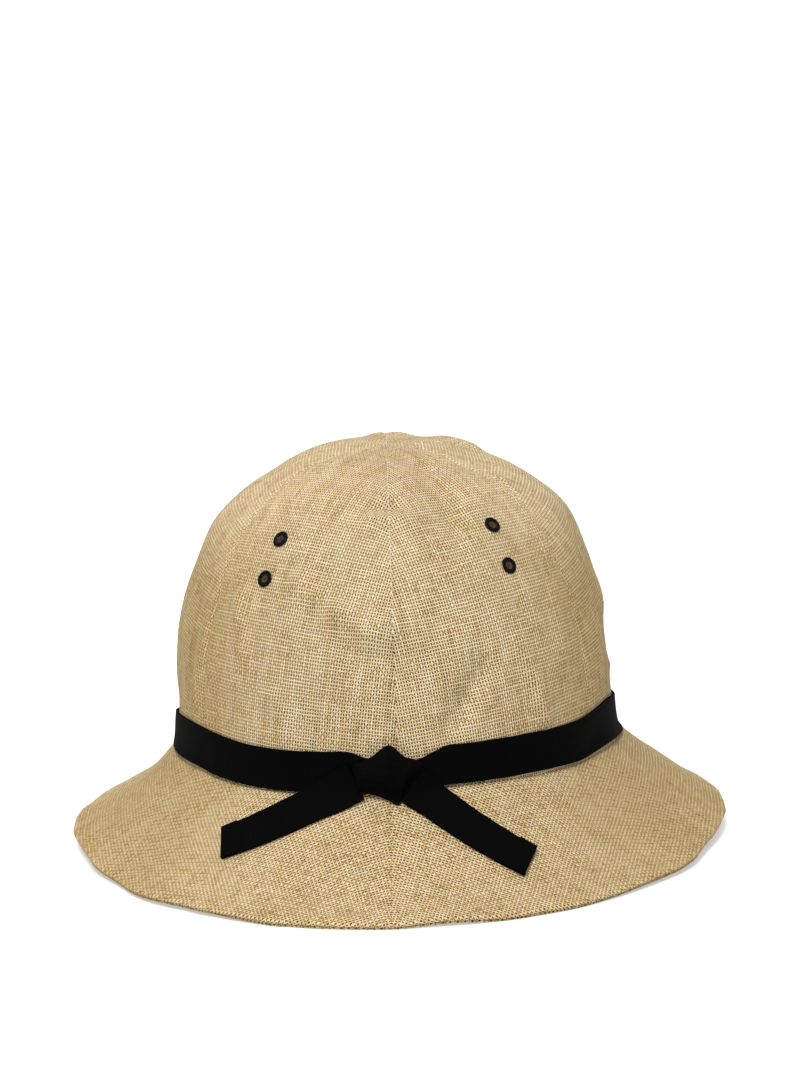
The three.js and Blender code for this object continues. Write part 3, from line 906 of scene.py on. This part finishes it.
def ribbon_strip(columns, rows, place):
    strip = flat_cloth(columns, 2 * rows + 2)
    bend(strip, lambda u, v: place(u, *both_faces(v, rows)))
    bmesh.ops.holes_fill(strip, edges=[edge for edge in strip.edges if edge.is_boundary])
    bmesh.ops.recalc_face_normals(strip, faces=strip.faces[:])
    return strip


def band_place(u, across, front):
    angle = lerp(RIBBON_START, 2.0 * math.pi - RIBBON_START, u)
    turn = angle - 2.0 * math.pi if angle > math.pi else angle
    drawn = 1.0 - smoothstep(abs(turn), RIBBON_START, RIBBON_GATHER_SPAN)
    height = (RIBBON_WIDTH - RIBBON_GATHER * drawn) * across
    for azimuth, spread, lower_lift, upper_lift in BAND_LIFTS:
        height += lerp(lower_lift, upper_lift, across) * swell((math.degrees(turn) - azimuth) / spread)
    over = (math.hypot(height, RIBBON_EASE) - height) / 2.0
    climb = climb_at(height + over)
    side = swell((abs(math.degrees(turn)) - BAND_SIDE) / BAND_SIDE_SPREAD)
    off = BAND_STANDS_OFF * side * across ** 2
    off += BAND_PLEAT * drawn * (1.0 + math.sin(2.0 * math.pi * BAND_PLEATS * across))
    off += RIBBON_CLEAR + RIBBON_CLOTH * front
    slope = (plain_brim(turn, BAND_BRIM) - plain_brim(turn, 0.0)).normalized()
    point = crown_point(turn, climb) + facing(crown_point, turn, climb) * off + slope * over
    return point, Vector((angle * CROWN_HALF_LENGTH, across * RIBBON_WIDTH))


band = ribbon_strip(BAND_COLUMNS, BAND_ROWS, band_place)
piece = add_piece("ribbon_band_cloth", band, grosgrain, "ribbon_band")


# Ribbon tails
# The two cut ends of the same ribbon, which come out from under the knot and lie on the brim. Each end
# is folded back on itself in a narrow hem and stitched.

TAIL_CLEAR = 0.0003
TAIL_COLUMNS = 140
TAIL_ROWS = 14
TAIL_HEM = 0.007
TAIL_HEM_CLOTH = 0.0006
TAIL_HEM_EDGE = 0.0004
TAIL_STEP = 0.002  # share of its length over which its direction is taken
TAIL_MEASURES = 40  # parts in which its length is measured
TAILS = {  # root and tip, as azimuth and height above the table
    "ribbon_tail_left": ((-11, 0.046), (-41.4, 0.0209)),
    "ribbon_tail_right": ((1.8, 0.0464), (27.3, 0.015)),
}


def rest_point(angle, z):
    """The face that the knot and tails lie on: the band's outside, running smoothly into the brim."""
    band = crown_point(angle, climb_at(min(max(z - CROWN_FOOT, 0.0), RIBBON_WIDTH)))
    band_radius = band.xy.length + RIBBON_CLEAR + RIBBON_CLOTH
    foot = plain_brim(angle, 0.0)
    rim = plain_brim(angle, 1.0)
    full = 1.0 + BRIM_HOLLOW
    drop = (foot.z - z) / (foot.z - rim.z)
    out = (full - math.sqrt(full ** 2 - 4.0 * BRIM_HOLLOW * drop)) / (2.0 * BRIM_HOLLOW)
    brim_radius = lerp(foot.xy.length, rim.xy.length, out)
    radius = (brim_radius + band_radius + math.hypot(brim_radius - band_radius, RIBBON_EASE)) / 2.0
    direction = math.atan2(band.x, -band.y)
    return around(direction, radius, radius, z)


def ribbon_tail(root, tip):
    turn = 1.0 if tip[0] > root[0] else -1.0

    def centre(share):
        return rest_point(math.radians(lerp(root[0], tip[0], share)), lerp(root[1], tip[1], share))

    stops = [centre(stop / TAIL_MEASURES) for stop in range(TAIL_MEASURES + 1)]
    length = sum((after - before).length for before, after in zip(stops, stops[1:]))

    def tail_place(u, across, front):
        share = u if turn > 0 else 1.0 - u
        middle = centre(share)
        along = (centre(share + TAIL_STEP) - centre(share - TAIL_STEP)) * turn
        face = facing(rest_point, math.radians(lerp(root[0], tip[0], share)), middle.z)
        edge = middle + face.cross(along).normalized() * (across - 0.5) * RIBBON_WIDTH
        edge_angle = math.atan2(edge.x, -edge.y)
        out = facing(rest_point, edge_angle, edge.z)
        hem = smoothstep(TAIL_HEM - (1.0 - share) * length, -TAIL_HEM_EDGE, TAIL_HEM_EDGE)
        off = TAIL_CLEAR + (RIBBON_CLOTH + TAIL_HEM_CLOTH * hem) * front
        spot = Vector((share * length, across * RIBBON_WIDTH))
        return rest_point(edge_angle, edge.z) + out * off, spot

    return ribbon_strip(TAIL_COLUMNS, TAIL_ROWS, tail_place), length


for node, (root, tip) in TAILS.items():
    tail, tail_length = ribbon_tail(root, tip)
    piece = add_piece(node + "_cloth", tail, grosgrain, node)


# Ribbon knot
# The flat knot in that ribbon: one turn of it pulled tight round the roots of both ends, so it is a
# full pad on the left with a hard crease down the middle and a folded corner on the right.

KNOT_SECTIONS = [  # foot and head (right of the front, above the crown's foot), and how far it swells
    (-0.0154, -0.0016, -0.0176, 0.0102, 0.0026),
    (-0.0104, -0.0020, -0.0106, 0.0131, 0.0050),
    (-0.0042, -0.0040, -0.0035, 0.0176, 0.0060),
    (0.0004, -0.0054, 0.0026, 0.0129, 0.0050),
    (0.0026, 0.0020, 0.0066, 0.0116, 0.0038),
    (0.0086, 0.0074, 0.0102, 0.0098, 0.0016),
]
KNOT_CLEAR = 0.0007
KNOT_TUCK = 0.0014  # how far its lower tip is drawn in
KNOT_TUCK_FROM = -0.0008
KNOT_TUCK_TO = 0.0054
KNOT_FULLNESS = 3.0
KNOT_COLUMNS = 90
KNOT_ROWS = 40
KNOT_CREASES = [  # from and to (right of the front, above the crown's foot), half width, depth
    ((-0.0034, 0.0165), (0.0003, -0.005), 0.0009, 0.0007),
    ((-0.0130, 0.0105), (-0.0040, 0.0090), 0.0010, 0.0003),
    ((-0.0125, 0.0035), (-0.0020, 0.0010), 0.0010, 0.0003),
]


def knot_section(share):
    """The section at one place, on a smooth curve through those listed."""
    last = len(KNOT_SECTIONS) - 1
    place = share * last
    row = min(int(place), last - 1)
    rest = place - row
    nearest = [KNOT_SECTIONS[min(max(row + step, 0), last)] for step in (-1, 0, 1, 2)]
    section = []
    for before, start, end, after in zip(*nearest):
        bow = 2.0 * before - 5.0 * start + 4.0 * end - after
        turn = 3.0 * (start - end) + after - before
        section.append(start + 0.5 * rest * (end - before + rest * (bow + rest * turn)))
    return section


def knot_place(u, across, front):
    foot_right, foot_up, head_right, head_up, thick = knot_section(u)
    spot = Vector((lerp(foot_right, head_right, across), lerp(foot_up, head_up, across)))
    angle = math.asin(spot.x / (CROWN_HALF_LENGTH + CROWN_FLARE))
    z = CROWN_FOOT + spot.y
    depth = lerp(RIBBON_CLOTH, thick, 1.0 - abs(2.0 * across - 1.0) ** KNOT_FULLNESS)
    for start, end, width, crease in KNOT_CREASES:
        start = Vector(start)
        end = Vector(end)
        share = geometry.intersect_point_line(spot, start, end)[1]
        nearest = start.lerp(end, min(max(share, 0.0), 1.0))
        depth -= crease * swell((spot - nearest).length / width)
    off = KNOT_CLEAR + RIBBON_CLOTH + max(depth, RIBBON_CLOTH / 2.0) * front
    off -= KNOT_TUCK * smoothstep(-spot.y, KNOT_TUCK_FROM, KNOT_TUCK_TO)
    return rest_point(angle, z) + facing(rest_point, angle, z) * off, spot.yx


knot = ribbon_strip(KNOT_COLUMNS, KNOT_ROWS, knot_place)
piece = add_piece("ribbon_knot_cloth", knot, grosgrain, "ribbon_knot")


# Stage
# A plain white floor under two soft lights, one from overhead and one from in front and above, a
# little to the left. The camera stands where the photograph was taken from, and is rolled two degrees.

FLOOR_SIZE = 9.0
FLOOR_TINT = (0.6, 0.6, 0.6, 1.0)
FLOOR_ROUGHNESS = 0.9
FLOOR_GLOW = 0.42
SKY_STRENGTH = 0.34

floor_mesh = bmesh.new()
bmesh.ops.create_grid(floor_mesh, x_segments=1, y_segments=1, size=FLOOR_SIZE)
mesh = bpy.data.meshes.new("floor")
floor_mesh.to_mesh(mesh)
floor_mesh.free()
paper, _, paper_shader = new_finish("white_floor")
paper_shader.inputs["Base Color"].default_value = FLOOR_TINT
paper_shader.inputs["Roughness"].default_value = FLOOR_ROUGHNESS
paper_shader.inputs["Emission Color"].default_value = WHITE
paper_shader.inputs["Emission Strength"].default_value = FLOOR_GLOW
mesh.materials.append(paper)
floor = bpy.data.objects.new("floor", mesh)
bpy.context.scene.collection.objects.link(floor)

world = bpy.data.worlds.new("studio")
world.use_nodes = True
world.node_tree.nodes["Background"].inputs["Color"].default_value = WHITE
world.node_tree.nodes["Background"].inputs["Strength"].default_value = SKY_STRENGTH
bpy.context.scene.world = world

LIGHTS = [  # name, where it comes from, how wide it is in degrees, strength
    ("key", (-0.12, -0.75, 0.9), 16, 2.65),
    ("overhead", (-0.05, 0.1, 1.0), 80, 1.75),
]
for name, towards, width, strength in LIGHTS:
    lamp = bpy.data.lights.new(name, "SUN")
    lamp.angle = math.radians(width)
    lamp.energy = strength
    light = bpy.data.objects.new(name, lamp)
    light.rotation_euler = Vector(towards).to_track_quat("Z", "Y").to_euler()
    bpy.context.scene.collection.objects.link(light)

CAMERA_PLACE = Vector((0.0, -1.93889, 0.55061))
CAMERA_AIM = Vector((0.00416, 0.0, 0.1225))
CAMERA_ROLL = math.radians(2.0)
CAMERA_SENSOR = 36.0
CAMERA_LENS = 167.03

lens = bpy.data.cameras.new("camera")
lens.sensor_fit = "AUTO"
lens.sensor_width = CAMERA_SENSOR
lens.lens = CAMERA_LENS
camera = bpy.data.objects.new("camera", lens)
axis = (CAMERA_AIM - CAMERA_PLACE).normalized()
level = axis.cross(Vector((0.0, 0.0, 1.0))).normalized()
upright = level.cross(axis)
across = level * math.cos(CAMERA_ROLL) - upright * math.sin(CAMERA_ROLL)
up = level * math.sin(CAMERA_ROLL) + upright * math.cos(CAMERA_ROLL)
turned = Matrix((across, up, -axis)).transposed().to_4x4()
camera.matrix_world = Matrix.Translation(CAMERA_PLACE) @ turned
bpy.context.scene.collection.objects.link(camera)
bpy.context.scene.camera = camera
bpy.context.scene.view_settings.view_transform = "Standard"
